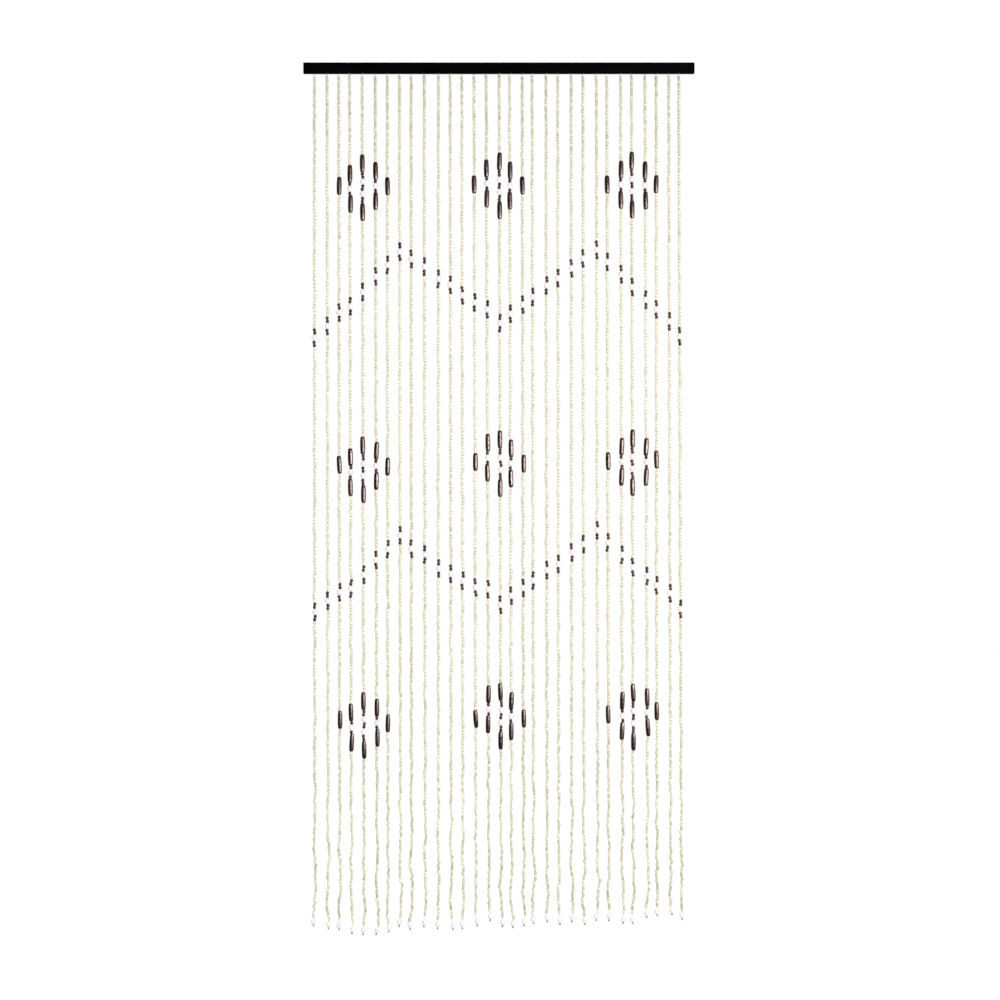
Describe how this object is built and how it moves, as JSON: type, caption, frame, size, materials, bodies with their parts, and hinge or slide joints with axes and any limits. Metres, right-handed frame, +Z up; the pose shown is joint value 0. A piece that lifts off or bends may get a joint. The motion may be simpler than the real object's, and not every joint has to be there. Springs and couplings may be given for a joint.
{
  "type": "bead door curtain on a wooden rail",
  "caption": "Bead door curtain: strings of small bamboo beads hang from a black wooden rail, with diamonds and zigzags of dark and white beads.",
  "frame": {"origin": "centre of the rail's back face, where the rail is fixed", "axes": "+Z up, +X to the right seen from the front, the curtain faces -Y"},
  "size_m": [0.9, 0.0169, 2.008],
  "materials": {
    "black_lacquered_wood": "black satin lacquer on a straight-grained batten",
    "bright_metal": "bright plated wire",
    "bamboo_beads": "pale cream to olive bamboo, lightly polished, each bead its own tone",
    "small_dark_beads": "dark brown stain under a satin varnish",
    "long_dark_beads": "dark brown stained wood with paler open grain, satin varnish",
    "white_beads": "white enamel, glossy",
    "cord": "thin pale twisted string",
    "knot_cord": "grey knotted string end"
  },
  "bodies": {
    "root": {"rail": "black_lacquered_wood", "eye_01": "bright_metal", "eye_02": "bright_metal", "eye_03": "bright_metal", "eye_04": "bright_metal", "eye_05": "bright_metal", "eye_06": "bright_metal", "eye_07": "bright_metal", "eye_08": "bright_metal", "eye_09": "bright_metal", "eye_10": "bright_metal", "eye_11": "bright_metal", "eye_12": "bright_metal", "eye_13": "bright_metal", "eye_14": "bright_metal", "eye_15": "bright_metal", "eye_16": "bright_metal", "eye_17": "bright_metal", "eye_18": "bright_metal", "eye_19": "bright_metal", "eye_20": "bright_metal", "eye_21": "bright_metal", "eye_22": "bright_metal", "eye_23": "bright_metal", "eye_24": "bright_metal", "eye_25": "bright_metal", "eye_26": "bright_metal", "eye_27": "bright_metal", "eye_28": "bright_metal", "eye_29": "bright_metal", "eye_30": "bright_metal", "eye_31": "bright_metal", "bead_strands": "bamboo_beads"}
  },
  "joints": []
}
